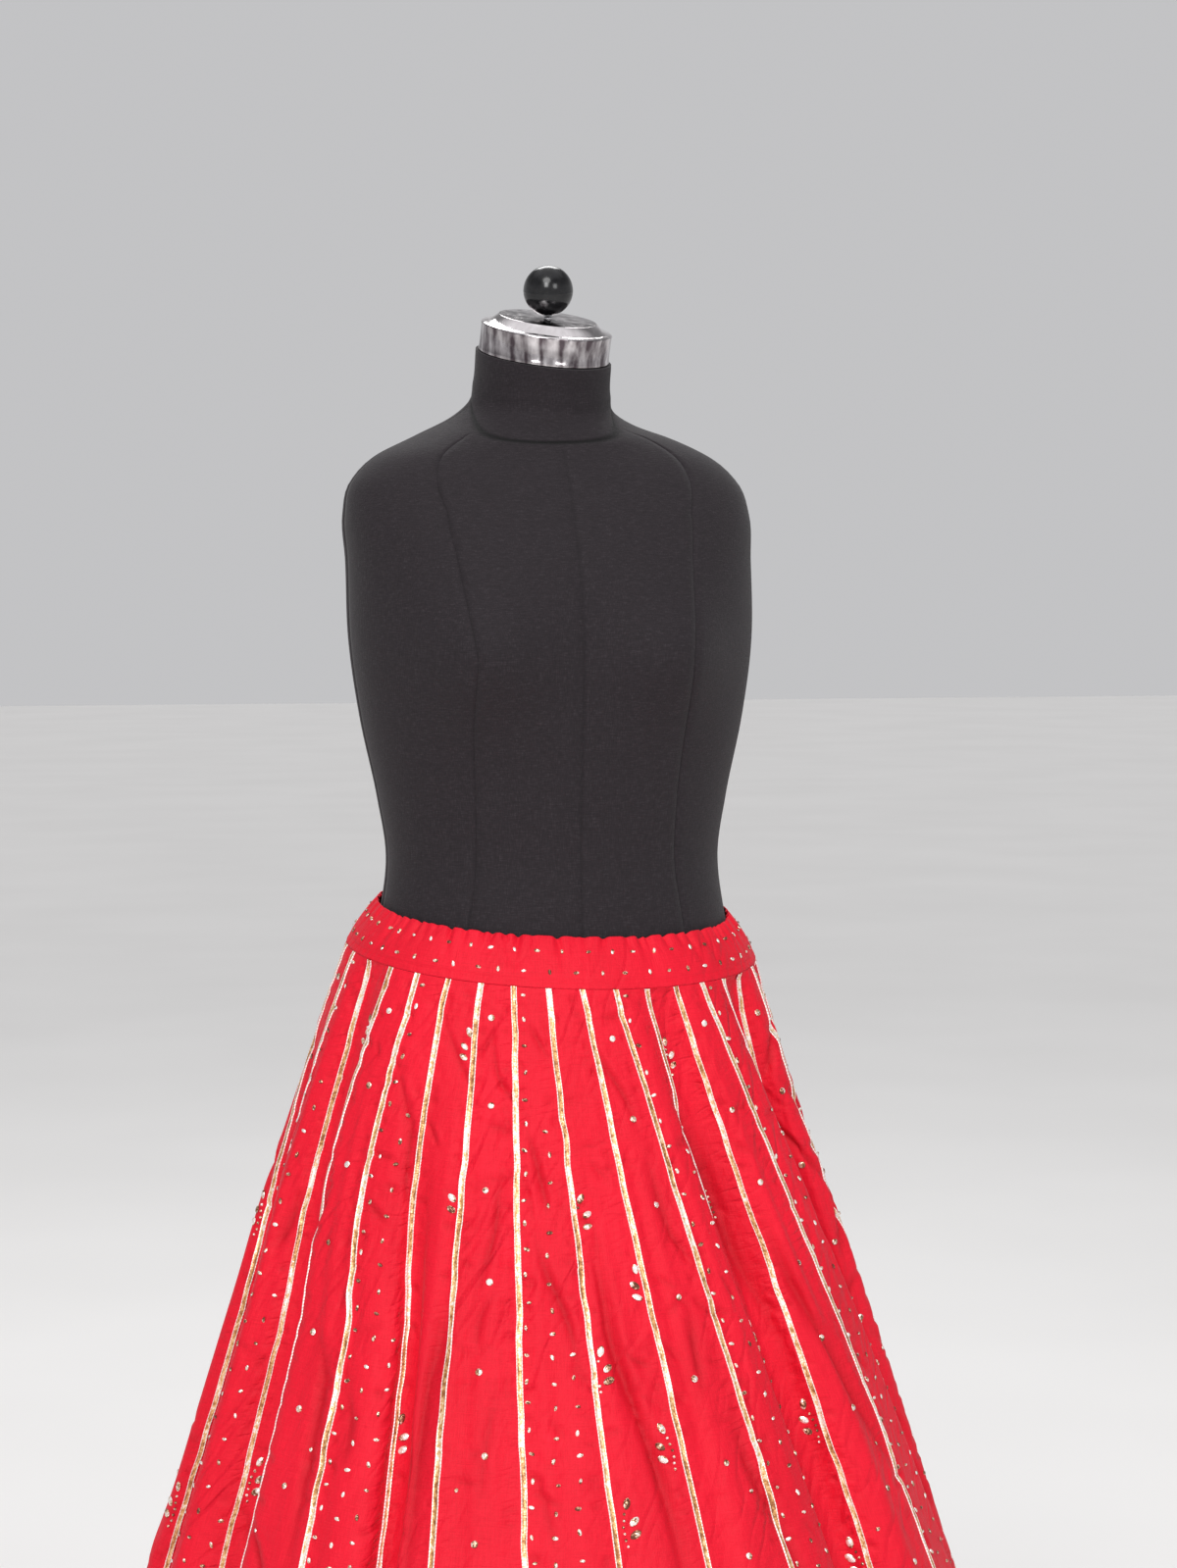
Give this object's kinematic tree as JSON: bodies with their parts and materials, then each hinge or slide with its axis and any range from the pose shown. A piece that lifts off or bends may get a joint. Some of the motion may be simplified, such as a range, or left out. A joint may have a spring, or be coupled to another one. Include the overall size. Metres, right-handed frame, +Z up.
{
  "type": "lehenga skirt on a limbless dress form",
  "caption": "Flared red lehenga skirt of tapered panels with gold ribbon on each seam and a gathered waistband, worn by a limbless dress form on a pole and round base.",
  "frame": {"origin": "centre of the base plate's underside, on the floor", "axes": "+Z up along the pole; the form's front faces -Y; +X to the form's left hand side as it faces -Y"},
  "size_m": [0.951, 0.9377, 1.534],
  "materials": {
    "red_cloth": "fine plain weave with a soft sheen",
    "gota_foil": "crinkled gold foil ribbon",
    "badla_metal": "small flat bright metal dots, leaves and beads",
    "form_jersey": "matte black cover cloth",
    "cap_chrome": "polished",
    "knob_gloss": "glossy black",
    "pole_steel": "brushed",
    "base_enamel": "satin black"
  },
  "bodies": {
    "root": {"kali_01": "red_cloth", "kali_02": "red_cloth", "kali_03": "red_cloth", "kali_04": "red_cloth", "kali_05": "red_cloth", "kali_06": "red_cloth", "kali_07": "red_cloth", "kali_08": "red_cloth", "kali_09": "red_cloth", "kali_10": "red_cloth", "kali_11": "red_cloth", "kali_12": "red_cloth", "kali_13": "red_cloth", "kali_14": "red_cloth", "kali_15": "red_cloth", "kali_16": "red_cloth", "kali_17": "red_cloth", "kali_18": "red_cloth", "kali_19": "red_cloth", "kali_20": "red_cloth", "kali_21": "red_cloth", "kali_22": "red_cloth", "kali_23": "red_cloth", "kali_24": "red_cloth", "kali_25": "red_cloth", "kali_26": "red_cloth", "kali_27": "red_cloth", "kali_28": "red_cloth", "kali_29": "red_cloth", "kali_30": "red_cloth", "kali_31": "red_cloth", "kali_32": "red_cloth", "kali_33": "red_cloth", "kali_34": "red_cloth", "kali_35": "red_cloth", "kali_36": "red_cloth", "waistband": "red_cloth", "form_torso": "form_jersey", "neck_cap": "cap_chrome", "cap_knob": "knob_gloss", "stand_pole": "pole_steel", "stand_base": "base_enamel"}
  },
  "joints": []
}
